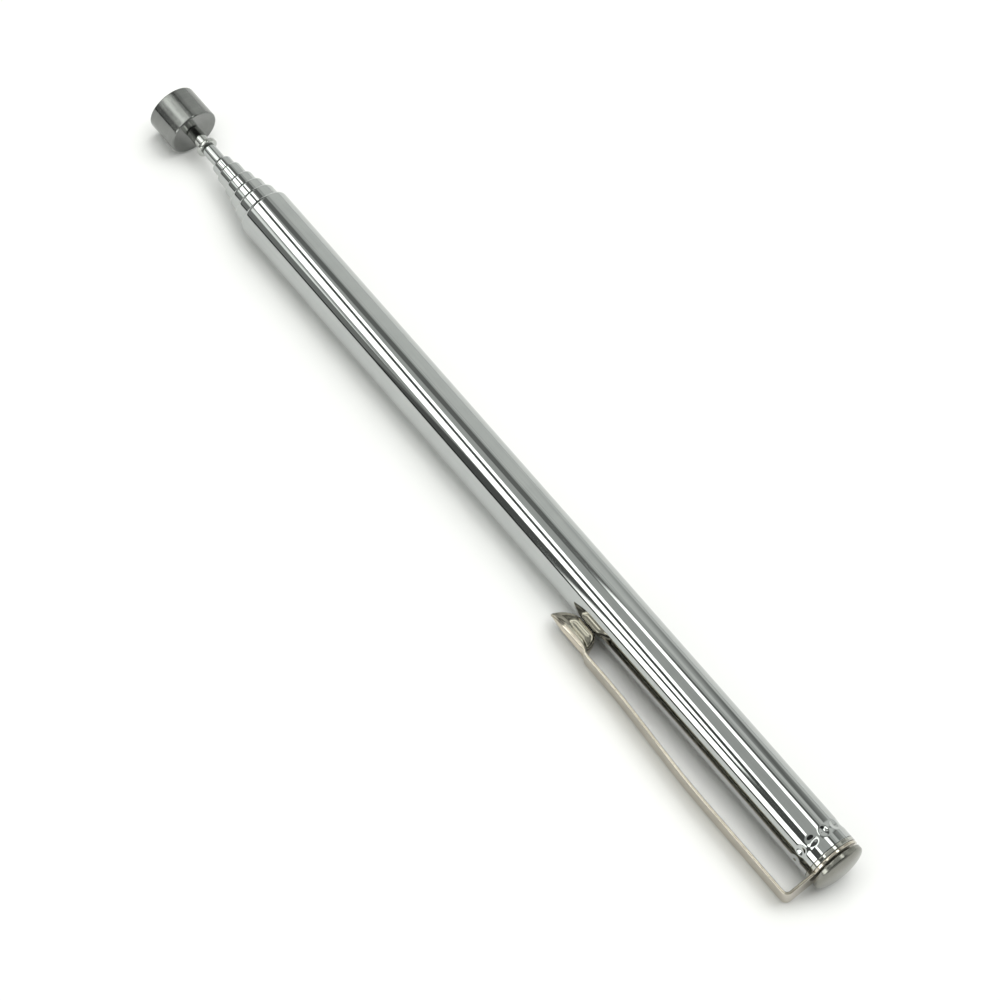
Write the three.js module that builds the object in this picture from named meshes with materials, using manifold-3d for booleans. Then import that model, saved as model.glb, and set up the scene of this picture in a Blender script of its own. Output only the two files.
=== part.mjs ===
// Telescopic magnetic pickup tool with a pocket clip, closed to pen length.
// Millimetres, +Z up. The tool lies on its side along X, magnet towards +X, clip towards +Y.
// It is first laid out on its own axis, with x = 0 at the clip end of the outer tube, and is
// then set down so that its origin is the middle of its footprint.
import * as THREE from 'three';
import { mergeVertices } from 'three/addons/utils/BufferGeometryUtils.js';
import Module from 'manifold-3d';

const wasm = await Module();
wasm.setup();

// ---------------------------------------------------------------- driving dimensions

const SIDES = 24; // facets round every turned piece
const RUN = 0.05; // radial clearance of pieces that slide in each other
const SEAT = 0.03; // gap left between pieces that are pressed or peened together
const BREAK = 0.1; // broken edge of a turned piece

const TUBE_LENGTH = 108; // outer tube
const TRAVEL = 85; // stroke of every sliding section

// One entry per tube, outermost first: outside radius, wall, and how far its mouth
// stands out of the tube around it when the tool is closed.
const TUBES = [
  { radius: 3.5, wall: 0.3, shows: 0 },
  { radius: 2.95, wall: 0.25, shows: 1.9 },
  { radius: 2.5, wall: 0.225, shows: 1.7 },
  { radius: 2.075, wall: 0.2, shows: 1.7 },
  { radius: 1.7, wall: 0.175, shows: 2.1 },
  { radius: 1.35, wall: 0.2, shows: 1.6 },
];
const ROD = { radius: 0.9, shows: 2.6, spigotRadius: 0.5, spigot: 0.8 };

const LIP_STEPS = 4; // facets of a rolled mouth
const LIP_EDGE = 0.2; // thickness of the metal at the mouth
const SPRING = { length: 12, slit: THREE.MathUtils.degToRad(40), play: 0.2 };
const BEAD = { length: 0.5, height: 0.6 }; // its height is a share of the gap around it
const BUSH = { collar: 0.6, spigot: 0.8, bore: 0.6 }; // its bore is a share of its spigot

const PLUG = { flange: 0.55, depth: 6, bore: 1.3, grooveX: 2, grooveWidth: 1.2, grooveDepth: 0.35 };
const STAKES = { count: 12, radius: 0.9, depth: 0.16 };

const CLIP = {
  thickness: 0.38,
  width: 3.6,
  length: 43.7,
  eyeRadius: 3.45,
  armStart: 2.2, // from the axis, clear of the eye's hole
  bendRadius: 0.7, // at the middle of the metal
  bendSteps: 5,
  bendGap: 3.33, // between the outer tube and the strip, at the bend
  boatGap: 2.58, // the same where the pressed boat starts
  setFrom: 14, // the strip is set in from the one gap to the other between these places
  setTo: 33,
  setSteps: 6,
};
// The boat is a keel pressed into the clip's end, deep enough to bear on the tube. The pressing
// rises over shares of the boat's length at its bow and stern, and pulls its rims in a little too.
const BOAT = { length: 6.6, bow: 0.4, stern: 0.25, fullness: 0.7, rimPull: 0.4, touch: 0.06 };
const KEEL = { width: 0.65, flank: 0.28 }; // shares of the clip's width and of the boat's depth
const TIP = { taper: 2.8, half: 0.3 }; // the clip narrows to this half width at its tip
const BOAT_STEPS = { along: 16, across: 8 };

const RIVET = { radius: 3.45, dome: 0.95, domeSteps: 6, rim: 0.45, neckRadius: 2.6, neck: 0.25, peen: 0.6 };
const STUD = {
  radius: 0.5,
  tang: 3,
  flangeRadius: 1.4,
  flange: 0.6,
  neckRadius: 0.9,
  neck: 2.4,
  peenRadius: 0.9,
};
const CUP = {
  radius: 3.4,
  length: 4.8,
  back: 1.6,
  dish: 0.3, // the back is dished towards the neck's seat
  seatRadius: 1,
  wall: 0.4,
  edge: 0.2,
  recessRadius: 1.05,
  recess: 0.5,
};
const MAGNET_RECESS = 0.1;

// ---------------------------------------------------------------- finishes

const finish = (color, roughness) => new THREE.MeshStandardMaterial({ color, roughness, metalness: 1 });
const FINISH = {
  chrome: finish(0xd9dcdb, 0.08),
  nickel: finish(0xd8d3c4, 0.22),
  steel: finish(0x9b9e9a, 0.32),
  magnet: finish(0xb4b6b6, 0.28),
  brass: finish(0xc2a05a, 0.35),
  bronze: finish(0xb98a55, 0.3),
};

// ---------------------------------------------------------------- helpers

const tool = new THREE.Group();

function addPiece(name, geometry, material) {
  const mesh = new THREE.Mesh(geometry, material);
  mesh.name = name;
  tool.add(mesh);
}

// A turned piece. The profile's points are [x, radius], outside towards +X, then back inside.
// It starts and ends on the axis, or closes on itself.
function turned(profile) {
  const solidOnAxis = profile[0][1] === 0;
  const outline = solidOnAxis ? profile : [...profile, profile[0]];
  const points = outline.map(([x, radius]) => new THREE.Vector2(radius, x));
  return new THREE.LatheGeometry(points, SIDES).rotateZ(-Math.PI / 2);
}

// Quarter of an ellipse, leaving (x0, r0) along the axis and reaching (x1, r1) square to it.
function quarter(x0, r0, x1, r1, steps = LIP_STEPS) {
  return Array.from({ length: steps + 1 }, (_, i) => {
    const angle = (i / steps) * (Math.PI / 2);
    return [x0 + (x1 - x0) * Math.sin(angle), r1 + (r0 - r1) * Math.cos(angle)];
  });
}

function toManifold(geometry) {
  const bare = geometry.clone();
  bare.deleteAttribute('normal');
  bare.deleteAttribute('uv');
  const merged = mergeVertices(bare, 1e-5);
  const vertProperties = new Float32Array(merged.attributes.position.array);
  const triVerts = new Uint32Array(merged.index.array);
  return new wasm.Manifold(new wasm.Mesh({ numProp: 3, vertProperties, triVerts }));
}

function toGeometry(solid) {
  const mesh = solid.getMesh();
  const geometry = new THREE.BufferGeometry();
  geometry.setAttribute('position', new THREE.BufferAttribute(mesh.vertProperties, 3));
  geometry.setIndex(new THREE.BufferAttribute(mesh.triVerts, 1));
  return geometry;
}

// ---------------------------------------------------------------- tubes and sections

const boreOf = (tube) => tube.radius - tube.wall;
const nextRadius = (index) => TUBES[index + 1]?.radius ?? ROD.radius;
// How far a tube's mouth is rolled in, to run on the next piece.
const curlOf = (index) => TUBES[index].radius - nextRadius(index) - RUN;

// Where each tube's mouth is when the tool is closed, and where the rod ends.
const mouths = [];
for (const tube of TUBES) {
  mouths.push((mouths.at(-1) ?? TUBE_LENGTH) + tube.shows);
}
const rodTip = mouths.at(-1) + ROD.shows;

function mouthProfile(index) {
  const mouth = mouths[index];
  const curl = curlOf(index);
  const lip = TUBES[index].radius - curl;
  const inside = quarter(mouth - curl, boreOf(TUBES[index]), mouth - LIP_EDGE, lip, 2);
  return [...quarter(mouth - curl, TUBES[index].radius, mouth, lip), ...inside.reverse()];
}

// Where the parts near the inner end of the piece inside TUBES[index] lie, back from its stroke.
function innerEnd(index) {
  const radius = nextRadius(index);
  const beadStart = mouths[index] - curlOf(index) - SEAT - TRAVEL - BEAD.length;
  const springStart = beadStart - SEAT - SPRING.length;
  const gap = boreOf(TUBES[index]) - radius;
  return { beadStart, beadRadius: radius + BEAD.height * gap, springStart, start: springStart - SEAT };
}

// Rolled bead that stops against the mouth around it and keeps the friction sleeve in place.
function beadProfile(end, radius) {
  const beadEnd = end.beadStart + BEAD.length;
  return [
    [end.beadStart, radius], [end.beadStart + BREAK, end.beadRadius],
    [beadEnd - BREAK, end.beadRadius], [beadEnd, radius],
  ];
}

// Slit bronze sleeve that grips the bore of TUBES[index].
function frictionSpring(index) {
  const radius = nextRadius(index);
  const bore = boreOf(TUBES[index]);
  const play = SPRING.play * (bore - radius);
  const from = SPRING.slit / 2;
  const to = 2 * Math.PI - from;
  const shape = new THREE.Shape();
  shape.absarc(0, 0, bore - play, from, to, false);
  shape.absarc(0, 0, radius + play, to, from, true);
  const options = { depth: SPRING.length, bevelEnabled: false, curveSegments: SIDES };
  const sleeve = new THREE.ExtrudeGeometry(shape, options);
  return sleeve.rotateY(Math.PI / 2).translate(innerEnd(index).springStart, 0, 0);
}

// Brass bush pressed into a section's inner end: its collar runs in TUBES[index].
function stopBush(index) {
  const collar = boreOf(TUBES[index]) - RUN;
  const spigot = boreOf(TUBES[index + 1]) - SEAT;
  const bore = spigot * BUSH.bore;
  const face = innerEnd(index).start - SEAT;
  const back = face - BUSH.collar;
  return turned([
    [back, bore], [back, collar - BREAK], [back + BREAK, collar],
    [face, collar], [face, spigot], [face + BUSH.spigot, spigot], [face + BUSH.spigot, bore],
  ]);
}

function sectionTube(index) {
  const { radius } = TUBES[index];
  const end = innerEnd(index - 1);
  return turned([
    [end.start, boreOf(TUBES[index])], [end.start, radius],
    ...beadProfile(end, radius), ...mouthProfile(index),
  ]);
}

// ---------------------------------------------------------------- outer tube and its end

// The tube's wall is punched into the plug's groove by a ring of round stakes.
function outerTube() {
  let solid = toManifold(turned([[0, boreOf(TUBES[0])], [0, TUBES[0].radius], ...mouthProfile(0)]));
  for (let i = 0; i < STAKES.count; i += 1) {
    const angle = (i / STAKES.count) * 2 * Math.PI;
    const height = TUBES[0].radius + STAKES.radius - STAKES.depth;
    const punch = new THREE.IcosahedronGeometry(STAKES.radius, 1);
    punch.translate(PLUG.grooveX, height * Math.cos(angle), height * Math.sin(angle));
    solid = solid.subtract(toManifold(punch));
  }
  return toGeometry(solid);
}

function endPlug() {
  const body = boreOf(TUBES[0]) - RUN;
  const groove = body - PLUG.grooveDepth;
  const grooveStart = PLUG.grooveX - PLUG.grooveWidth / 2;
  const grooveEnd = grooveStart + PLUG.grooveWidth;
  return turned([
    [-PLUG.flange, PLUG.bore], [-PLUG.flange, TUBES[0].radius], [-SEAT, TUBES[0].radius], [-SEAT, body],
    [grooveStart, body], [grooveStart, groove], [grooveEnd, groove], [grooveEnd, body],
    [PLUG.depth - BREAK, body], [PLUG.depth, body - BREAK], [PLUG.depth, PLUG.bore],
  ]);
}

const eyeFront = -PLUG.flange - SEAT; // the eye's face that bears on the plug
const eyeBack = eyeFront - CLIP.thickness;

// Domed cap in one with the shank that is peened over inside the plug.
function capRivet() {
  const neckFront = eyeBack - SEAT;
  const rimFront = neckFront - RIVET.neck;
  const domeFront = rimFront - RIVET.rim;
  const dome = quarter(domeFront, RIVET.radius, domeFront - RIVET.dome, 0, RIVET.domeSteps).reverse();
  dome[0][1] = 0;
  const shank = PLUG.bore - RUN;
  const peen = PLUG.depth + SEAT;
  return turned([
    ...dome, [rimFront, RIVET.radius], [rimFront, RIVET.neckRadius],
    [neckFront, RIVET.neckRadius], [neckFront, shank], [peen, shank], [peen, shank + RIVET.peen],
    [peen + RIVET.peen, shank + RIVET.peen / 2], [peen + RIVET.peen, 0],
  ]);
}

// ---------------------------------------------------------------- pocket clip

const clipTip = eyeBack + CLIP.length;

// The middle line of the clip's strip, in the plane of the axis and the clip: out along the arm,
// round the bend and along the tube. Each station has its place, its direction, its distance
// from the tip and whether it is on the boat.
function clipStations() {
  const armX = eyeFront - CLIP.thickness / 2;
  const bendX = armX + CLIP.bendRadius;
  const toMiddle = TUBES[0].radius + CLIP.thickness / 2;
  const bendTop = toMiddle + CLIP.bendGap;
  const sternX = clipTip - BOAT.length;
  const stations = [{ x: armX, r: CLIP.armStart, direction: Math.PI / 2 }];
  for (let i = 0; i <= CLIP.bendSteps; i += 1) {
    const turn = (i / CLIP.bendSteps) * (Math.PI / 2);
    const x = bendX - CLIP.bendRadius * Math.cos(turn);
    const r = bendTop - CLIP.bendRadius * (1 - Math.sin(turn));
    stations.push({ x, r, direction: Math.PI / 2 - turn });
  }
  const alongStrip = (x) => {
    const set = THREE.MathUtils.smoothstep(x, CLIP.setFrom, CLIP.setTo);
    return { x, r: bendTop + set * (CLIP.boatGap - CLIP.bendGap), direction: 0 };
  };
  for (let i = 0; i <= CLIP.setSteps; i += 1) {
    stations.push(alongStrip(CLIP.setFrom + (i / CLIP.setSteps) * (CLIP.setTo - CLIP.setFrom)));
  }
  for (let i = 0; i <= BOAT_STEPS.along; i += 1) {
    stations.push(alongStrip(sternX + (i / BOAT_STEPS.along) * BOAT.length));
  }
  return stations;
}

// Eases from 0 to 1 as a distance goes from 0 to length.
function eased(distance, length) {
  const phase = THREE.MathUtils.clamp(distance / length, 0, 1);
  return Math.sin((phase * Math.PI) / 2) ** BOAT.fullness;
}

// How far the strip is pressed towards the tube: across is -1 and 1 at its edges.
function pressDepth(fromTip, across, gap) {
  const fromStern = eased(BOAT.length - fromTip, BOAT.stern * BOAT.length);
  const fromBow = eased(fromTip, BOAT.bow * BOAT.length);
  const flank = Math.min(1, (1 - Math.abs(across)) / (1 - KEEL.width));
  const keel = Math.max(0, Math.cos((across / KEEL.width) * (Math.PI / 2)));
  const shape = KEEL.flank * flank + (1 - KEEL.flank) * keel;
  return fromStern * (BOAT.rimPull + (gap - BOAT.touch - BOAT.rimPull) * fromBow * shape);
}

function halfWidth(fromTip) {
  const half = CLIP.width / 2;
  if (fromTip > TIP.taper) return half;
  return TIP.half + (half - TIP.half) * Math.sin((fromTip / TIP.taper) * (Math.PI / 2));
}

// The strip is a flat bar laid along its stations: y runs outwards from the axis, z across it.
function clipStrip() {
  const stations = clipStations();
  const last = stations.length - 1;
  const bar = new THREE.BoxGeometry(1, 1, 1, last, BOAT_STEPS.across, 1);
  const { position } = bar.attributes;
  for (let i = 0; i < position.count; i += 1) {
    const station = stations[Math.round((position.getX(i) + 0.5) * last)];
    const across = 2 * position.getY(i);
    const fromTip = clipTip - station.x;
    const gap = station.r - TUBES[0].radius - CLIP.thickness / 2;
    const out = position.getZ(i) * CLIP.thickness - pressDepth(fromTip, across, gap);
    const x = station.x - out * Math.sin(station.direction);
    const y = station.r + out * Math.cos(station.direction);
    position.setXYZ(i, x, y, -across * halfWidth(fromTip));
  }
  return bar;
}

function clipEye() {
  const shape = new THREE.Shape().absarc(0, 0, CLIP.eyeRadius, 0, 2 * Math.PI);
  shape.holes.push(new THREE.Path().absarc(0, 0, PLUG.bore, 0, 2 * Math.PI, true));
  const options = { depth: CLIP.thickness, bevelEnabled: false, curveSegments: SIDES };
  return new THREE.ExtrudeGeometry(shape, options).rotateY(Math.PI / 2).translate(eyeBack, 0, 0);
}

// The angle below level at which the clip's lower edge meets the surface the tube lies on.
function restingRoll() {
  const outer = TUBES[0].radius + CLIP.bendGap + CLIP.thickness;
  const half = CLIP.width / 2;
  return Math.asin(TUBES[0].radius / Math.hypot(outer, half)) - Math.atan2(half, outer);
}

function pocketClip() {
  const whole = toManifold(clipEye()).add(toManifold(clipStrip()));
  return toGeometry(whole).rotateX(-restingRoll());
}

// ---------------------------------------------------------------- rod and magnet head

const flangeBack = rodTip + SEAT;
const cupBack = flangeBack + STUD.flange + STUD.neck + SEAT;
const cupFront = cupBack + CUP.length;
const lastTube = TUBES.length - 1;

function innerRod() {
  const end = innerEnd(lastTube);
  const bore = STUD.radius + RUN;
  return turned([
    [end.start - ROD.spigot, 0], [end.start - ROD.spigot, ROD.spigotRadius],
    [end.start, ROD.spigotRadius], [end.start, ROD.radius], ...beadProfile(end, ROD.radius),
    [rodTip - BREAK, ROD.radius], [rodTip, ROD.radius - BREAK], [rodTip, bore],
    [rodTip - STUD.tang - BREAK, bore], [rodTip - STUD.tang - BREAK, 0],
  ]);
}

function rodStopCollar() {
  const face = innerEnd(lastTube).start - SEAT;
  const bore = ROD.spigotRadius + SEAT;
  const outside = boreOf(TUBES[lastTube]) - RUN;
  return turned([[face - BUSH.collar, bore], [face - BUSH.collar, outside], [face, outside], [face, bore]]);
}

// Tang in the rod, flange, neck, and the end that is peened over inside the cup.
function headStud() {
  const flangeFront = flangeBack + STUD.flange;
  const neckFront = cupBack + CUP.dish - SEAT;
  const peen = cupBack + CUP.back - CUP.recess + SEAT;
  const peenFront = cupBack + CUP.back - SEAT;
  return turned([
    [rodTip - STUD.tang, 0], [rodTip - STUD.tang, STUD.radius], [flangeBack, STUD.radius],
    [flangeBack, STUD.flangeRadius], [flangeFront, STUD.flangeRadius], [flangeFront, STUD.neckRadius],
    [neckFront, STUD.neckRadius], [neckFront, STUD.radius], [peen, STUD.radius],
    [peen, STUD.peenRadius], [peenFront, STUD.peenRadius], [peenFront, 0],
  ]);
}

function magnetCup() {
  const floor = cupBack + CUP.back;
  const seat = cupBack + CUP.dish;
  const bore = STUD.radius + RUN;
  const backEdge = quarter(cupBack + CUP.edge, CUP.radius, cupBack, CUP.radius - CUP.edge).reverse();
  return turned([
    [seat, bore], [seat, CUP.seatRadius], ...backEdge, [cupFront - BREAK, CUP.radius],
    [cupFront, CUP.radius - BREAK], [cupFront, CUP.radius - CUP.wall], [floor, CUP.radius - CUP.wall],
    [floor, CUP.recessRadius], [floor - CUP.recess, CUP.recessRadius], [floor - CUP.recess, bore],
  ]);
}

function headMagnet() {
  const radius = CUP.radius - CUP.wall - SEAT;
  const back = cupBack + CUP.back + SEAT;
  const front = cupFront - MAGNET_RECESS;
  return turned([[back, 0], [back, radius], [front - BREAK, radius], [front, radius - BREAK], [front, 0]]);
}

// ---------------------------------------------------------------- the tool

addPiece('outer_tube', outerTube(), FINISH.chrome);
addPiece('end_plug', endPlug(), FINISH.nickel);
addPiece('pocket_clip', pocketClip(), FINISH.nickel);
addPiece('cap_rivet', capRivet(), FINISH.nickel);

for (let index = 1; index < TUBES.length; index += 1) {
  const name = `section_${index + 1}`;
  addPiece(`${name}_tube`, sectionTube(index), FINISH.chrome);
  addPiece(`${name}_stop_bush`, stopBush(index - 1), FINISH.brass);
  addPiece(`${name}_friction_spring`, frictionSpring(index - 1), FINISH.bronze);
}

addPiece('rod_friction_spring', frictionSpring(lastTube), FINISH.bronze);
addPiece('inner_rod', innerRod(), FINISH.chrome);
addPiece('rod_stop_collar', rodStopCollar(), FINISH.brass);
addPiece('head_stud', headStud(), FINISH.chrome);
addPiece('magnet_cup', magnetCup(), FINISH.steel);
addPiece('head_magnet', headMagnet(), FINISH.magnet);

const box = new THREE.Box3().setFromObject(tool);
const middle = box.getCenter(new THREE.Vector3());
tool.position.set(-middle.x, -middle.y, -box.min.z);

export default tool;
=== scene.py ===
"""Telescopic magnetic pickup tool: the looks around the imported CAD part.

Lengths are millimetres until a mesh is made. A piece is first laid out on the tool's own axis,
with x = 0 at the clip end of the outer tube, and is set down where the CAD has that tube.
"""
import math

import bpy
from mathutils import Matrix, Quaternion, Vector


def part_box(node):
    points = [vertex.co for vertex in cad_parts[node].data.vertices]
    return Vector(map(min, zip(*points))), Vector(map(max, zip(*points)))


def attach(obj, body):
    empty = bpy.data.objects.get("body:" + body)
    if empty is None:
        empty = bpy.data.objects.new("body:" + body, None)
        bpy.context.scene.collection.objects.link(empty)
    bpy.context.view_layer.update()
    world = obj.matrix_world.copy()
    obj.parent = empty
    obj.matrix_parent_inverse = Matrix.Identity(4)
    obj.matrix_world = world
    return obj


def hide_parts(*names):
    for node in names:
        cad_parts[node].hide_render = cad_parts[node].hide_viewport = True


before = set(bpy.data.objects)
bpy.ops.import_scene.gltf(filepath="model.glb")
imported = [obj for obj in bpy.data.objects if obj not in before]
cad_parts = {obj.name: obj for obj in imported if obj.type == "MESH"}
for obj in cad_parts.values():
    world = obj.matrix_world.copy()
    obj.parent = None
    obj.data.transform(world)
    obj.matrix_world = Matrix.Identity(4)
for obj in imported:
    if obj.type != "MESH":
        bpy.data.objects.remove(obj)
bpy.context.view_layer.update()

# ---------------------------------------------------------------- driving dimensions

MM = 0.001
RUN = 0.05  # radial clearance between pieces that slide in each other
SEAT = 0.03  # gap left between pieces that are pressed or peened together
TRAVEL = 85.0

# Outside radius, wall, and how far each tube's mouth stands out of the tube around it.
TUBES = [
    (3.5, 0.3, 0.0),
    (2.95, 0.25, 1.9),
    (2.5, 0.225, 1.7),
    (2.075, 0.2, 1.7),
    (1.7, 0.175, 2.1),
    (1.35, 0.2, 1.6),
]
TUBE_LENGTH = 108.0
TUBE_RADIUS = TUBES[0][0]
ROD_RADIUS, ROD_SHOWS, ROD_SPIGOT_RADIUS, ROD_SPIGOT = 0.9, 2.6, 0.5, 0.8
LIP_EDGE = 0.2  # thickness of the metal at a rolled mouth
SPRING_LENGTH = 12.0
BEAD_LENGTH, BEAD_HEIGHT = 0.5, 0.6  # the height is a share of the gap around it

PLUG_FLANGE, PLUG_DEPTH, PLUG_BORE = 0.55, 6.0, 1.3
GROOVE_X, GROOVE_WIDTH, GROOVE_DEPTH = 2.0, 1.2, 0.35
STAKE_COUNT, STAKE_RADIUS, STAKE_DEPTH = 12, 0.85, 0.17
PINCH = 0.05  # the staking also draws the tube in between the stakes

CLIP_THICKNESS, CLIP_WIDTH, CLIP_LENGTH = 0.38, 3.6, 43.7
CLIP_EDGE = 0.17  # radius of the strip's rounded edges
EYE_RADIUS = 3.45
ARM_START = 2.2  # from the axis
BEND_RADIUS, BEND_GAP, BOAT_GAP = 0.7, 3.33, 2.58
SET_FROM, SET_TO = 14.0, 33.0  # the strip is set in from the one gap to the other between these places
BOAT_LENGTH, BOAT_TOUCH, RIM_PULL = 6.6, 0.06, 0.4
BOW_SHARE, STERN_SHARE, BOAT_FULLNESS = 0.4, 0.25, 0.7  # how the pressing rises at the boat's ends
KEEL_WIDTH, KEEL_FLANK = 0.65, 0.28  # shares of the clip's width and of the boat's depth
TIP_TAPER, TIP_HALF = 2.8, 0.3  # the clip narrows to this half width at its tip

CAP_RADIUS, CAP_DOME, CAP_RIM = 3.45, 0.95, 0.45
CAP_NECK_RADIUS, CAP_NECK, CAP_PEEN = 2.6, 0.25, 0.6
STUD_RADIUS, STUD_TANG, STUD_FLANGE_RADIUS, STUD_FLANGE = 0.5, 3.0, 1.4, 0.6
NECK_RADIUS, NECK_LENGTH, STUD_PEEN_RADIUS = 0.9, 2.4, 0.9
CUP_RADIUS, CUP_LENGTH, CUP_BACK, CUP_WALL, CUP_EDGE = 3.4, 4.8, 1.6, 0.4, 0.2
CUP_DISH, CUP_SEAT_RADIUS = 0.3, 1.0  # the back is dished towards the neck's seat
CUP_RECESS_RADIUS, CUP_RECESS, MAGNET_RECESS = 1.05, 0.5, 0.1

ROUND_SMALL, ROUND_MIDDLE, ROUND_LARGE, ROUND_STAKED = 128, 160, 192, 384  # points in a turned ring
STAKE_RINGS = 44  # rings of points over the stakes
BREAK = 0.1  # broken edge of the rod, and the gap past the stud's tang
TUBE_EDGE = 0.04
EDGE = 0.08  # broken edge of the plug, cap, cup and clip eye
STUD_EDGE, MAGNET_EDGE = 0.25, 0.15
SHARP = math.radians(38)  # faces that meet at a sharper turn keep a hard edge
MOST_CUT = 0.3  # the share of a side that the rounding of one corner may take
SUPPORT = 1.5  # a rounded corner has a point beside it this many times its own cut away
LONG_SIDE, STEADY = 0.6, 0.04  # a turned piece's side longer than this has points so near its ends

# ---------------------------------------------------------------- where things are

low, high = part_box("outer_tube")
AXIS = Vector((low.x, (low.y + high.y) / 2, (low.z + high.z) / 2))


def bore_of(index):
    radius, wall, _ = TUBES[index]
    return radius - wall


def next_radius(index):
    return TUBES[index + 1][0] if index + 1 < len(TUBES) else ROD_RADIUS


def curl_of(index):
    """How far a tube's mouth is rolled in, to run on the next piece."""
    return TUBES[index][0] - next_radius(index) - RUN


def mouth_of(index):
    return TUBE_LENGTH + sum(shows for _, _, shows in TUBES[: index + 1])


ROD_TIP = mouth_of(len(TUBES) - 1) + ROD_SHOWS
EYE_FRONT = -PLUG_FLANGE - SEAT
EYE_BACK = EYE_FRONT - CLIP_THICKNESS
CLIP_TIP = EYE_BACK + CLIP_LENGTH
FLANGE_BACK = ROD_TIP + SEAT
CUP_START = FLANGE_BACK + STUD_FLANGE + NECK_LENGTH + SEAT
CUP_FRONT = CUP_START + CUP_LENGTH

# ---------------------------------------------------------------- meshes


def make_piece(name, points, faces):
    """A smooth-shaded mesh object, with hard edges where faces meet at a sharp turn."""
    mesh = bpy.data.meshes.new(name)
    mesh.from_pydata([AXIS + Vector(point) * MM for point in points], [], faces)
    mesh.validate()
    mesh.shade_smooth()
    mesh.set_sharp_from_angle(angle=SHARP)
    piece = bpy.data.objects.new(name, mesh)
    bpy.context.scene.collection.objects.link(piece)
    return piece


def finish_piece(piece, body, slot, material, *nodes):
    piece.data.materials.append(material)
    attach(piece, body)
    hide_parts(*nodes)


def quarter(x0, r0, x1, r1, steps=10):
    """Quarter of an ellipse, leaving (x0, r0) along the axis and reaching (x1, r1) square to it."""
    turns = [i / steps * math.pi / 2 for i in range(steps + 1)]
    return [(x0 + (x1 - x0) * math.sin(t), r1 + (r0 - r1) * math.cos(t)) for t in turns]


def softened(outline, radius, closed, steps=4):
    """The outline with its corners rounded, and a point on each side that keeps the flats flat."""
    rounded = []
    count = len(outline)
    for i, corner in enumerate(outline):
        here = Vector(corner)
        if not closed and i in (0, count - 1):
            rounded.append(here)
            continue
        back = Vector(outline[i - 1]) - here
        ahead = Vector(outline[(i + 1) % count]) - here
        turn = math.pi - back.angle(ahead)
        if turn < SHARP:
            rounded.append(here)
            continue
        cut = min(radius * math.tan(turn / 2), MOST_CUT * back.length, MOST_CUT * ahead.length)
        enter = here + back.normalized() * cut
        leave = here + ahead.normalized() * cut
        rounded.append(here + back.normalized() * cut * SUPPORT)
        for step in range(steps + 1):
            t = step / steps
            rounded.append(enter * (1 - t) ** 2 + here * 2 * t * (1 - t) + leave * t ** 2)
        rounded.append(here + ahead.normalized() * cut * SUPPORT)
    return [tuple(point) for point in rounded]


def steadied(profile, closed):
    """Adds points close to both ends of each long side, so that its shading stays straight."""
    steady = []
    for i, start in enumerate(profile):
        steady.append(start)
        if i + 1 == len(profile) and not closed:
            break
        end = profile[(i + 1) % len(profile)]
        length = math.dist(start, end)
        if length > LONG_SIDE:
            for share in (STEADY / length, 1 - STEADY / length):
                steady.append(tuple(Vector(start).lerp(Vector(end), share)))
    return steady


def turned(name, outline, segments, edge=TUBE_EDGE, shape=None):
    """A turned piece: the outline's (x, radius) points go outside towards +X, then back inside.

    It starts and ends on the axis, or closes on itself. shape(x, radius, angle) may dent it.
    """
    on_axis = outline[0][1] == 0
    profile = steadied(softened(outline, edge, closed=not on_axis), closed=not on_axis)
    points, rings = [], []
    for x, radius in profile:
        if radius == 0:
            rings.append([len(points)] * segments)
            points.append((x, 0, 0))
            continue
        rings.append(list(range(len(points), len(points) + segments)))
        for k in range(segments):
            angle = k / segments * 2 * math.pi
            r = shape(x, radius, angle) if shape else radius
            points.append((x, r * math.cos(angle), r * math.sin(angle)))
    faces = []
    last = len(rings) if not on_axis else len(rings) - 1
    for i in range(last):
        here, ahead = rings[i], rings[(i + 1) % len(rings)]
        for k in range(segments):
            n = (k + 1) % segments
            corners = [here[k], here[n], ahead[n], ahead[k]]
            faces.append(list(dict.fromkeys(corners)))
    return make_piece(name, points, faces)


# ---------------------------------------------------------------- tubes and sections


def mouth_profile(index):
    mouth, curl, radius = mouth_of(index), curl_of(index), TUBES[index][0]
    lip = radius - curl
    outside = quarter(mouth - curl, radius, mouth, lip)
    inside = quarter(mouth - curl, bore_of(index), mouth - LIP_EDGE, lip, 5)
    return outside + inside[::-1]


def inner_end(index):
    """Where the inner end of the piece inside tube number index lies, back from its stroke."""
    bead_start = mouth_of(index) - curl_of(index) - SEAT - TRAVEL - BEAD_LENGTH
    bead_radius = next_radius(index) + BEAD_HEIGHT * (bore_of(index) - next_radius(index))
    start = bead_start - SEAT - SPRING_LENGTH - SEAT
    return start, bead_start, bead_radius


def bead_profile(bead_start, bead_radius, radius):
    bead_end = bead_start + BEAD_LENGTH
    middle = (bead_start + bead_end) / 2
    rise = quarter(middle, bead_radius, bead_start, radius, 5)[::-1]
    return rise + quarter(middle, bead_radius, bead_end, radius, 5)[1:]


def stake_dent(x, radius, angle):
    """The outer surface pulled in where the tube is punched into the plug's groove."""
    if radius < TUBE_RADIUS - 0.001:
        return radius
    pitch = 2 * math.pi / STAKE_COUNT
    off = (angle + pitch / 2) % pitch - pitch / 2
    from_ring = min(1.0, abs(x - GROOVE_X) / STAKE_RADIUS)
    from_stake = min(1.0, math.hypot(x - GROOVE_X, off * radius) / STAKE_RADIUS)
    pinch = PINCH * (0.5 + 0.5 * math.cos(math.pi * from_ring))
    return radius - pinch - STAKE_DEPTH * (0.5 + 0.5 * math.cos(math.pi * from_stake))


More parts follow.
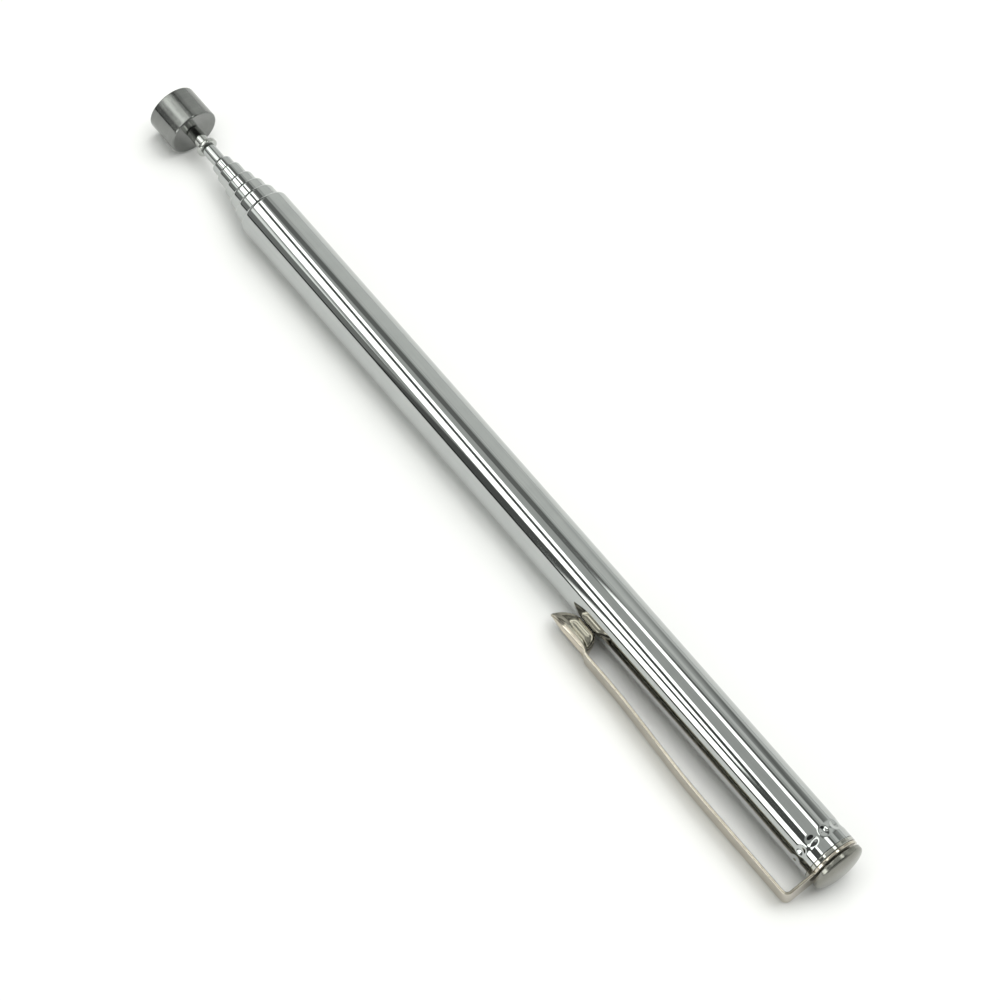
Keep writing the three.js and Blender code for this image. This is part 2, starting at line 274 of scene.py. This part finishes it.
def make_outer_tube():
    start = GROOVE_X - STAKE_RADIUS
    step = 2 * STAKE_RADIUS / STAKE_RINGS
    staked = [(start + i * step, TUBE_RADIUS) for i in range(STAKE_RINGS + 1)]
    outline = [(0, bore_of(0)), (0, TUBE_RADIUS), *staked, *mouth_profile(0)]
    return turned("outer_tube_skin", outline, ROUND_STAKED, shape=stake_dent)


def make_section(index):
    radius = TUBES[index][0]
    start, bead_start, bead_radius = inner_end(index - 1)
    outline = [(start, bore_of(index)), (start, radius)]
    outline += bead_profile(bead_start, bead_radius, radius)
    return turned(f"section_{index + 1}_skin", outline + mouth_profile(index), ROUND_MIDDLE)


def make_rod():
    start, bead_start, bead_radius = inner_end(len(TUBES) - 1)
    bore = STUD_RADIUS + RUN
    socket = ROD_TIP - STUD_TANG - BREAK
    outline = [
        (start - ROD_SPIGOT, 0), (start - ROD_SPIGOT, ROD_SPIGOT_RADIUS),
        (start, ROD_SPIGOT_RADIUS), (start, ROD_RADIUS),
        *bead_profile(bead_start, bead_radius, ROD_RADIUS),
        (ROD_TIP, ROD_RADIUS), (ROD_TIP, bore), (socket, bore), (socket, 0),
    ]
    return turned("inner_rod_skin", outline, ROUND_SMALL, edge=BREAK)


# ---------------------------------------------------------------- end plug, cap and clip


def make_end_plug():
    body = bore_of(0) - RUN
    groove = body - GROOVE_DEPTH
    groove_start = GROOVE_X - GROOVE_WIDTH / 2
    groove_end = groove_start + GROOVE_WIDTH
    outline = [
        (-PLUG_FLANGE, PLUG_BORE), (-PLUG_FLANGE, TUBE_RADIUS), (-SEAT, TUBE_RADIUS), (-SEAT, body),
        (groove_start, body), (groove_start, groove), (groove_end, groove), (groove_end, body),
        (PLUG_DEPTH, body), (PLUG_DEPTH, PLUG_BORE),
    ]
    return turned("end_plug_skin", outline, ROUND_LARGE, edge=EDGE)


def make_cap():
    neck_front = EYE_BACK - SEAT
    rim_front = neck_front - CAP_NECK
    dome_front = rim_front - CAP_RIM
    dome = quarter(dome_front, CAP_RADIUS, dome_front - CAP_DOME, 0, 24)[::-1]
    dome[0] = (dome[0][0], 0)
    shank = PLUG_BORE - RUN
    peen = PLUG_DEPTH + SEAT
    outline = [
        *dome, (rim_front, CAP_RADIUS), (rim_front, CAP_NECK_RADIUS),
        (neck_front, CAP_NECK_RADIUS), (neck_front, shank), (peen, shank),
        (peen, shank + CAP_PEEN), (peen + CAP_PEEN, shank + CAP_PEEN / 2), (peen + CAP_PEEN, 0),
    ]
    return turned("cap_rivet_skin", outline, ROUND_LARGE, edge=EDGE)


def clip_stations():
    """The middle line of the strip: each station's x, distance from the axis and direction."""
    arm_x = EYE_FRONT - CLIP_THICKNESS / 2
    bend_x = arm_x + BEND_RADIUS
    to_middle = TUBE_RADIUS + CLIP_THICKNESS / 2
    bend_top = to_middle + BEND_GAP
    stern_x = CLIP_TIP - BOAT_LENGTH
    bend_steps, strip_steps, boat_steps = 16, 80, 96
    stations = [(arm_x, ARM_START, math.pi / 2)]
    for i in range(bend_steps + 1):
        turn = i / bend_steps * math.pi / 2
        x = bend_x - BEND_RADIUS * math.cos(turn)
        r = bend_top - BEND_RADIUS * (1 - math.sin(turn))
        stations.append((x, r, math.pi / 2 - turn))
    for start, end, steps in ((bend_x, stern_x, strip_steps), (stern_x, CLIP_TIP, boat_steps)):
        for i in range(1, steps + 1):
            x = start + i / steps * (end - start)
            part = min(1.0, max(0.0, (x - SET_FROM) / (SET_TO - SET_FROM)))
            set_in = part * part * (3 - 2 * part)
            stations.append((x, bend_top + set_in * (BOAT_GAP - BEND_GAP), 0.0))
    return stations


def eased(distance, length):
    """Eases from 0 to 1 as a distance goes from 0 to length."""
    phase = min(1.0, max(0.0, distance / length))
    return math.sin(phase * math.pi / 2) ** BOAT_FULLNESS


def press_depth(from_tip, across, gap):
    """How far the strip is pressed towards the tube: across is -1 and 1 at its edges."""
    from_stern = eased(BOAT_LENGTH - from_tip, STERN_SHARE * BOAT_LENGTH)
    from_bow = eased(from_tip, BOW_SHARE * BOAT_LENGTH)
    flank = min(1.0, (1 - abs(across)) / (1 - KEEL_WIDTH))
    keel = max(0.0, math.cos(across / KEEL_WIDTH * math.pi / 2))
    shape = KEEL_FLANK * flank + (1 - KEEL_FLANK) * keel
    return from_stern * (RIM_PULL + (gap - BOAT_TOUCH - RIM_PULL) * from_bow * shape)


def half_width(from_tip):
    half = CLIP_WIDTH / 2
    if from_tip > TIP_TAPER:
        return half
    return TIP_HALF + (half - TIP_HALF) * math.sin(from_tip / TIP_TAPER * math.pi / 2)


def strip_section(half):
    """The strip's cross-section: points (out, across) round its two faces and rounded edges."""
    across_steps, edge_steps = 40, 5
    flat = half - CLIP_EDGE
    top = CLIP_THICKNESS / 2
    section = []
    for side in (1, -1):
        for i in range(across_steps + 1):
            section.append((side * top, side * flat * (1 - 2 * i / across_steps)))
        for corner in (side, -side):
            for k in range(1, edge_steps + 1):
                turn = k / (edge_steps + 1) * math.pi / 2
                lift = math.cos(turn) if corner == side else math.sin(turn)
                reach = math.sin(turn) if corner == side else math.cos(turn)
                out = top - CLIP_EDGE + CLIP_EDGE * lift
                section.append((corner * out, -side * (flat + CLIP_EDGE * reach)))
    return section


def make_clip_strip():
    rings, points = [], []
    for x, r, direction in clip_stations():
        from_tip = CLIP_TIP - x
        half = half_width(from_tip)
        gap = r - TUBE_RADIUS - CLIP_THICKNESS / 2
        ring = []
        for out, across in strip_section(half):
            lift = out - press_depth(from_tip, across / half, gap)
            ring.append(len(points))
            points.append((x - lift * math.sin(direction), r + lift * math.cos(direction), -across))
        rings.append(ring)
    faces = [rings[0][::-1], rings[-1]]
    count = len(rings[0])
    for here, ahead in zip(rings, rings[1:]):
        for k in range(count):
            n = (k + 1) % count
            faces.append([here[k], here[n], ahead[n], ahead[k]])
    return make_piece("clip_strip", points, faces)


def resting_roll():
    """The angle below level at which the clip's lower edge meets the surface the tube lies on."""
    outer = TUBE_RADIUS + BEND_GAP + CLIP_THICKNESS
    half = CLIP_WIDTH / 2
    return math.asin(TUBE_RADIUS / math.hypot(outer, half)) - math.atan2(half, outer)


def make_eye():
    outline = [
        (EYE_BACK, PLUG_BORE), (EYE_BACK, EYE_RADIUS), (EYE_FRONT, EYE_RADIUS), (EYE_FRONT, PLUG_BORE),
    ]
    return turned("clip_eye", outline, ROUND_MIDDLE, edge=EDGE)


def make_clip():
    strip = make_clip_strip()
    eye = make_eye()
    bpy.context.view_layer.objects.active = strip
    union = strip.modifiers.new("weld_to_eye", "BOOLEAN")
    union.operation = "UNION"
    union.solver = "EXACT"
    union.object = eye
    bpy.ops.object.modifier_apply(modifier=union.name)
    bpy.data.objects.remove(eye)
    roll = Matrix.Rotation(-resting_roll(), 4, "X")
    strip.data.transform(Matrix.Translation(AXIS) @ roll @ Matrix.Translation(-AXIS))
    strip.data.shade_smooth()
    strip.data.set_sharp_from_angle(angle=SHARP)
    strip.name = "pocket_clip_strip"
    return strip


# ---------------------------------------------------------------- magnet head


def make_stud():
    flange_front = FLANGE_BACK + STUD_FLANGE
    neck_front = CUP_START + CUP_DISH - SEAT
    peen = CUP_START + CUP_BACK - CUP_RECESS + SEAT
    peen_front = CUP_START + CUP_BACK - SEAT
    outline = [
        (ROD_TIP - STUD_TANG, 0), (ROD_TIP - STUD_TANG, STUD_RADIUS), (FLANGE_BACK, STUD_RADIUS),
        (FLANGE_BACK, STUD_FLANGE_RADIUS), (flange_front, STUD_FLANGE_RADIUS),
        (flange_front, NECK_RADIUS), (neck_front, NECK_RADIUS),
        (neck_front, STUD_RADIUS), (peen, STUD_RADIUS),
        (peen, STUD_PEEN_RADIUS), (peen_front, STUD_PEEN_RADIUS), (peen_front, 0),
    ]
    return turned("head_stud_skin", outline, ROUND_SMALL, edge=STUD_EDGE)


def make_cup():
    floor = CUP_START + CUP_BACK
    seat = CUP_START + CUP_DISH
    bore = STUD_RADIUS + RUN
    back_edge = quarter(CUP_START + CUP_EDGE, CUP_RADIUS, CUP_START, CUP_RADIUS - CUP_EDGE, 5)[::-1]
    outline = [
        (seat, bore), (seat, CUP_SEAT_RADIUS), *back_edge,
        (CUP_FRONT, CUP_RADIUS), (CUP_FRONT, CUP_RADIUS - CUP_WALL),
        (floor, CUP_RADIUS - CUP_WALL), (floor, CUP_RECESS_RADIUS),
        (floor - CUP_RECESS, CUP_RECESS_RADIUS), (floor - CUP_RECESS, bore),
    ]
    return turned("magnet_cup_skin", outline, ROUND_LARGE, edge=EDGE)


def make_magnet():
    radius = CUP_RADIUS - CUP_WALL - SEAT
    back = CUP_START + CUP_BACK + SEAT
    front = CUP_FRONT - MAGNET_RECESS
    outline = [(back, 0), (back, radius), (front, radius), (front, 0)]
    return turned("head_magnet_skin", outline, ROUND_MIDDLE, edge=MAGNET_EDGE)


# ---------------------------------------------------------------- materials

NOISE_LOW, NOISE_HIGH = 0.3, 0.7  # most of a noise's values lie between these


class Nodes:
    """A node tree with short ways to add a node and join it up."""

    def __init__(self, tree):
        self.tree = tree
        tree.nodes.clear()

    def add(self, kind, inputs=(), **settings):
        node = self.tree.nodes.new(kind)
        for key, value in settings.items():
            setattr(node, key, value)
        for key, value in dict(inputs).items():
            self.feed(node.inputs[key], value)
        return node

    def feed(self, socket, value):
        if isinstance(value, bpy.types.NodeSocket):
            self.tree.links.new(value, socket)
        else:
            socket.default_value = value

    def math(self, operation, *values):
        return self.add("ShaderNodeMath", enumerate(values), operation=operation).outputs[0]

    def vector(self, operation, *values):
        return self.add("ShaderNodeVectorMath", enumerate(values), operation=operation)

    def noise(self, place, size, detail=2.0):
        """Soft noise from 0 to 1, with lumps of that size in millimetres."""
        inputs = {"Vector": place, "Scale": 1 / (size * MM), "Detail": detail}
        return self.add("ShaderNodeTexNoise", inputs).outputs["Fac"]

    def spread(self, value, low_value, high_value):
        """Stretches noise's middle range over low_value to high_value."""
        inputs = {0: value, 1: NOISE_LOW, 2: NOISE_HIGH, 3: low_value, 4: high_value}
        return self.add("ShaderNodeMapRange", inputs).outputs[0]

    def tones(self, value, first, second):
        """A colour that goes from the first to the second with soft noise."""
        inputs = {0: self.spread(value, 0, 1), 6: (*first, 1), 7: (*second, 1)}
        return self.add("ShaderNodeMix", inputs, data_type="RGBA").outputs[2]


def along_axis(nodes, stretch):
    """Coordinates squeezed along the tool, so that noise turns into streaks along it."""
    place = nodes.add("ShaderNodeTexCoord").outputs["Object"]
    return nodes.vector("MULTIPLY", place, (1 / stretch, 1, 1)).outputs[0]


def round_axis(nodes):
    """Coordinates (along, radius): noise on them turns into fine rings, like turning marks."""
    place = nodes.add("ShaderNodeTexCoord").outputs["Object"]
    centred = nodes.vector("SUBTRACT", place, tuple(AXIS)).outputs[0]
    parts = nodes.add("ShaderNodeSeparateXYZ", {0: centred})
    y_squared = nodes.math("POWER", parts.outputs[1], 2.0)
    z_squared = nodes.math("POWER", parts.outputs[2], 2.0)
    radius = nodes.math("SQRT", nodes.math("ADD", y_squared, z_squared))
    return nodes.add("ShaderNodeCombineXYZ", {0: parts.outputs[0], 1: radius}).outputs[0]


CLOUD_SIZE, CLOUD_DETAIL = 2.6, 4.0  # the slow change of tone over every metal, in millimetres
CLOUD_SHARE, MARK_SHARE = 0.6, 0.4
ACROSS_GROOVES = 0.25  # a quarter turn from the way the turning tool's grooves run


def metal(name, dark, light, gloss, marks, mark_size, relief, anisotropy=0.0):
    """Bare or plated metal, from a dark to a light tone.

    gloss is its lowest and highest roughness, marks makes the coordinates of its fine marks,
    and relief is how deep they are, in thousandths of a millimetre.
    """
    material = bpy.data.materials.new(name)
    material.use_nodes = True
    nodes = Nodes(material.node_tree)
    place = nodes.add("ShaderNodeTexCoord").outputs["Object"]
    cloud = nodes.noise(place, CLOUD_SIZE, CLOUD_DETAIL)
    fine = nodes.noise(marks(nodes), mark_size)
    both = nodes.math("MULTIPLY_ADD", fine, MARK_SHARE, nodes.math("MULTIPLY", cloud, CLOUD_SHARE))
    depth = relief * MM / 1000
    bump = nodes.add("ShaderNodeBump", {"Strength": 1.0, "Distance": depth, "Height": fine})
    shader = nodes.add("ShaderNodeBsdfPrincipled", {
        "Base Color": nodes.tones(both, dark, light),
        "Metallic": 1.0,
        "Roughness": nodes.spread(both, *gloss),
        "Anisotropic": anisotropy,
        "Anisotropic Rotation": ACROSS_GROOVES if anisotropy else 0.0,
        "Normal": bump.outputs[0],
    })
    if anisotropy:
        tangent = nodes.add("ShaderNodeTangent", direction_type="RADIAL", axis="X")
        nodes.feed(shader.inputs["Tangent"], tangent.outputs[0])
    out = nodes.add("ShaderNodeOutputMaterial")
    nodes.feed(out.inputs["Surface"], shader.outputs[0])
    return material


def drawn(nodes):
    """Marks that run along the tool, as on drawn tube and strip."""
    return along_axis(nodes, 30)


CHROME = metal("chrome", (0.44, 0.455, 0.45), (0.49, 0.505, 0.495), (0.03, 0.055), drawn, 0.25, 0.4)
NICKEL = metal("nickel", (0.49, 0.45, 0.38), (0.63, 0.58, 0.495), (0.08, 0.16), drawn, 0.2, 2.0)
# The cap's nickel plating is the same as the clip's. Its tone is made much darker as painted shade for the
# dim surroundings the cap reflects, and its roughness is raised for a satin finish.
SATIN_NICKEL_PAINTED_SHADE = metal(
    "satin_nickel_painted_shade", (0.22, 0.218, 0.195), (0.28, 0.276, 0.25), (0.16, 0.24), drawn, 0.2, 2.0
)
POLISHED_NICKEL = metal(
    "polished_nickel", (0.4, 0.4, 0.37), (0.5, 0.5, 0.46), (0.05, 0.1), round_axis, 0.1, 0.8
)
BRIGHT_STEEL = metal(
    "bright_steel", (0.44, 0.45, 0.43), (0.52, 0.53, 0.51), (0.05, 0.1), round_axis, 0.08, 0.6
)
TURNED_STEEL = metal(
    "turned_steel", (0.19, 0.195, 0.19), (0.27, 0.275, 0.265), (0.12, 0.2), round_axis, 0.07, 1.5, 0.7
)
MAGNET_PLATING = metal(
    "magnet_plating", (0.5, 0.5, 0.5), (0.62, 0.62, 0.61), (0.22, 0.32), drawn, 0.15, 2.0
)
BRASS = metal("brass", (0.62, 0.44, 0.18), (0.78, 0.58, 0.28), (0.22, 0.36), round_axis, 0.1, 2.0)
BRONZE = metal("spring_bronze", (0.55, 0.33, 0.16), (0.7, 0.45, 0.24), (0.2, 0.34), drawn, 0.12, 2.0)

# ---------------------------------------------------------------- the tool

finish_piece(make_outer_tube(), "handle", "chrome", CHROME, "outer_tube")
finish_piece(make_end_plug(), "handle", "nickel_plate", POLISHED_NICKEL, "end_plug")
finish_piece(make_clip(), "handle", "nickel_plate", NICKEL, "pocket_clip")
finish_piece(make_cap(), "handle", "nickel_plate", SATIN_NICKEL_PAINTED_SHADE, "cap_rivet")
for number in range(1, len(TUBES)):
    section = f"section_{number + 1}"
    finish_piece(make_section(number), section, "chrome", CHROME, f"{section}_tube")
finish_piece(make_rod(), "rod", "chrome", CHROME, "inner_rod")
finish_piece(make_stud(), "rod", "bright_steel", BRIGHT_STEEL, "head_stud")
finish_piece(make_cup(), "rod", "turned_steel", TURNED_STEEL, "magnet_cup")
finish_piece(make_magnet(), "rod", "magnet_plating", MAGNET_PLATING, "head_magnet")


def repaint(node, material):
    node.data.materials.clear()
    node.data.materials.append(material)


for name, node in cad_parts.items():
    if name.endswith("_stop_bush") or name == "rod_stop_collar":
        repaint(node, BRASS)
    elif name.endswith("_friction_spring"):
        repaint(node, BRONZE)

# ---------------------------------------------------------------- floor and light

FLOOR_SIZE = 6.0
KEY_SIZE, KEY_DISTANCE, KEY_POWER = 1.3, 1.2, 12.0
KEY_ELEVATION, KEY_AZIMUTH = math.radians(78), math.radians(-80)  # the azimuth is from +X towards +Y
PAPER_CLOUD = 40  # size of the paper's faint change of tone


def make_floor():
    half = FLOOR_SIZE / 2
    corners = [(-half, -half, 0), (half, -half, 0), (half, half, 0), (-half, half, 0)]
    mesh = bpy.data.meshes.new("floor")
    mesh.from_pydata(corners, [], [(0, 1, 2, 3)])
    floor = bpy.data.objects.new("floor", mesh)
    bpy.context.scene.collection.objects.link(floor)
    material = bpy.data.materials.new("pale_paper")
    material.use_nodes = True
    nodes = Nodes(material.node_tree)
    place = nodes.add("ShaderNodeTexCoord").outputs["Object"]
    colour = nodes.tones(nodes.noise(place, PAPER_CLOUD), (0.84, 0.84, 0.83), (0.86, 0.86, 0.85))
    shader = nodes.add("ShaderNodeBsdfPrincipled", {"Base Color": colour, "Roughness": 0.9})
    out = nodes.add("ShaderNodeOutputMaterial")
    nodes.feed(out.inputs["Surface"], shader.outputs[0])
    mesh.materials.append(material)


# The room is a set of flat panels seen from the tool. Each is a name, a brightness and a convex
# outline, anticlockwise, on a ceiling one metre up or on a side wall one metre away.
# On the ceiling a corner is (x, y); on a wall it is (x, height). The near wall is towards +Y.
ROOM = 0.6  # brightness where no panel is
LAMP = 3.4
ROOM_TINT = (0.973, 1, 0.962, 1)
BACKDROP = (0.93, 0.93, 0.925, 1)  # what the camera sees past the paper
GRAZING = 0.02  # a side of the room isn't painted nearer to its own horizon than this
SOFT_EDGE, FAR_SOFT_EDGE = 0.02, 0.2  # widths over which a panel's edge fades
CEILING = [
    ("shade beyond the lamps", 0.12, [(-0.52, 2.56), (1.28, -1.42), (9, -1.42), (9, 9), (-0.52, 9)]),
    ("pale corner", 0.56, [(0.6, 1.6), (0.72, 1.0), (9, 1.0), (9, 9), (3.9, 9), (1.0, 2.55)]),
    ("dim bay", 0.22, [(0.3, -0.4), (1.5, -0.4), (1.5, -0.04), (0.3, -0.04)]),
    ("shade line", 0.14, [(-0.3, -0.5), (0.29, -0.5), (0.29, -0.38), (-0.3, -0.38)]),
    ("dark end", 0.04, [(-1.6, -0.9), (-0.4, -0.9), (-0.4, 2.0), (-1.6, 2.0)]),
    ("pale line", 0.9, [(0.34, -0.66), (0.56, -0.66), (0.56, -0.55), (0.34, -0.55)]),
    ("lamp A", LAMP, [(-0.3, -0.325), (0.3, -0.325), (0.3, -0.135), (-0.3, -0.135)]),
    ("lamp B", LAMP, [(0.17, 0.776), (0.68, -0.31), (0.69, -0.26), (0.315, 0.79), (0.2, 0.95)]),
    ("lamp C", LAMP, [
        (0.34, 1.24), (0.66, -0.04), (0.77, 0.42), (0.7, 1.1), (0.68, 1.57), (0.41, 1.6),
    ]),
    ("lamp edge", 1.5, [(0.79, 1.2), (0.93, 1.2), (1.18, 2.6), (0.94, 2.1)]),
]
NEAR_WALL = [
    ("shade", 0.13, [(0.3, 0), (0.43, 0), (0.43, 0.6), (0.3, 0.6)]),
    ("pale corner", 0.3, [(0.43, 0), (4, 0), (4, 0.5), (0.43, 0.5)]),
    ("window", LAMP, [(-0.4, 0.1), (0.31, 0.1), (0.31, 0.45), (-0.4, 0.45)]),
    ("skirting", 0.03, [(-4, -0.02), (4, -0.02), (4, 0.1), (-4, 0.1)]),
]
FAR_WALL = [
    ("pale wall", 0.85, [(-1, 0), (3, 0), (3, 1.4), (-1, 1.4)]),
    ("dark corner", 0.15, [(0.18, 0.3), (0.3, 0.3), (0.3, 0.9), (0.18, 0.9)]),
]


def edge_vectors(corners):
    """For each edge, the vector whose dot product with (u, v, 1) is the distance inside it."""
    turned_round = corners[1:] + corners[:1]
    for (u0, v0), (u1, v1) in zip(corners, turned_round):
        length = math.hypot(u1 - u0, v1 - v0)
        normal_u, normal_v = (v0 - v1) / length, (u1 - u0) / length
        yield normal_u, normal_v, -(normal_u * u0 + normal_v * v0)


def paint_panels(nodes, light, along, up, facing, panels, soft=SOFT_EDGE):
    """Paints panels over the light arriving from a side of the room.

    along, up and facing are the parts of the direction along the side's u, its v, and towards it.
    """
    ahead = nodes.math("MAXIMUM", facing, GRAZING)
    place = nodes.add("ShaderNodeCombineXYZ", {
        0: nodes.math("DIVIDE", along, ahead), 1: nodes.math("DIVIDE", up, ahead), 2: 1.0,
    }).outputs[0]
    in_front = nodes.math("GREATER_THAN", facing, GRAZING)
    for _, brightness, corners in panels:
        inside = None
        for edge in edge_vectors(corners):
            distance = nodes.vector("DOT_PRODUCT", place, edge).outputs["Value"]
            inside = distance if inside is None else nodes.math("MINIMUM", inside, distance)
        inputs = {0: inside, 1: -soft / 2, 2: soft / 2, 3: 0.0, 4: 1.0}
        mask = nodes.add("ShaderNodeMapRange", inputs, interpolation_type="SMOOTHSTEP").outputs[0]
        mask = nodes.math("MULTIPLY", mask, in_front)
        change = nodes.math("MULTIPLY", mask, nodes.math("SUBTRACT", brightness, light))
        light = nodes.math("ADD", light, change)
    return light


def make_room():
    world = bpy.data.worlds.new("room")
    bpy.context.scene.world = world
    world.use_nodes = True
    nodes = Nodes(world.node_tree)
    direction = nodes.add("ShaderNodeTexCoord").outputs["Generated"]
    x, y, z = nodes.add("ShaderNodeSeparateXYZ", {0: direction}).outputs
    light = paint_panels(nodes, ROOM, x, y, z, CEILING)
    light = paint_panels(nodes, light, x, z, y, NEAR_WALL)
    light = paint_panels(nodes, light, x, z, nodes.math("MULTIPLY", y, -1.0), FAR_WALL, soft=FAR_SOFT_EDGE)
    room = nodes.add("ShaderNodeBackground", {"Color": ROOM_TINT, "Strength": light})
    backdrop = nodes.add("ShaderNodeBackground", {"Color": BACKDROP, "Strength": 1.0})
    seen = nodes.add("ShaderNodeLightPath").outputs["Is Camera Ray"]
    both = nodes.add("ShaderNodeMixShader", {0: seen, 1: room.outputs[0], 2: backdrop.outputs[0]})
    out = nodes.add("ShaderNodeOutputWorld")
    nodes.feed(out.inputs["Surface"], both.outputs[0])


def make_key_light():
    """A soft overhead light for the paper and its shadows; the room's lamps are what metal shows."""
    data = bpy.data.lights.new("key", "AREA")
    data.size = KEY_SIZE
    data.energy = KEY_POWER
    key = bpy.data.objects.new("key", data)
    level, rise = math.cos(KEY_ELEVATION), math.sin(KEY_ELEVATION)
    away = Vector((math.cos(KEY_AZIMUTH) * level, math.sin(KEY_AZIMUTH) * level, rise))
    key.location = away * KEY_DISTANCE
    key.rotation_mode = "QUATERNION"
    key.rotation_quaternion = away.to_track_quat("Z", "Y")
    key.visible_glossy = False
    bpy.context.scene.collection.objects.link(key)


# ---------------------------------------------------------------- camera

LENS = 105.09
TARGET = AXIS + Vector((57.78, 1.89, 0.535)) * MM
DISTANCE = 349.1 * MM
AZIMUTH, ELEVATION, ROLL = math.radians(141.89), math.radians(57.77), math.radians(15.29)


def make_camera():
    level = math.cos(ELEVATION)
    forward = Vector((math.sin(AZIMUTH) * level, math.cos(AZIMUTH) * level, -math.sin(ELEVATION)))
    camera = bpy.data.objects.new("camera", bpy.data.cameras.new("camera"))
    bpy.context.scene.collection.objects.link(camera)
    camera.data.lens = LENS
    camera.data.clip_start, camera.data.clip_end = 0.01, 20
    camera.rotation_mode = "QUATERNION"
    camera.rotation_quaternion = forward.to_track_quat("-Z", "Y") @ Quaternion((0, 0, 1), ROLL)
    camera.location = TARGET - forward * DISTANCE
    bpy.context.scene.camera = camera


make_floor()
make_room()
make_key_light()
make_camera()
bpy.context.scene.view_settings.view_transform = "Standard"
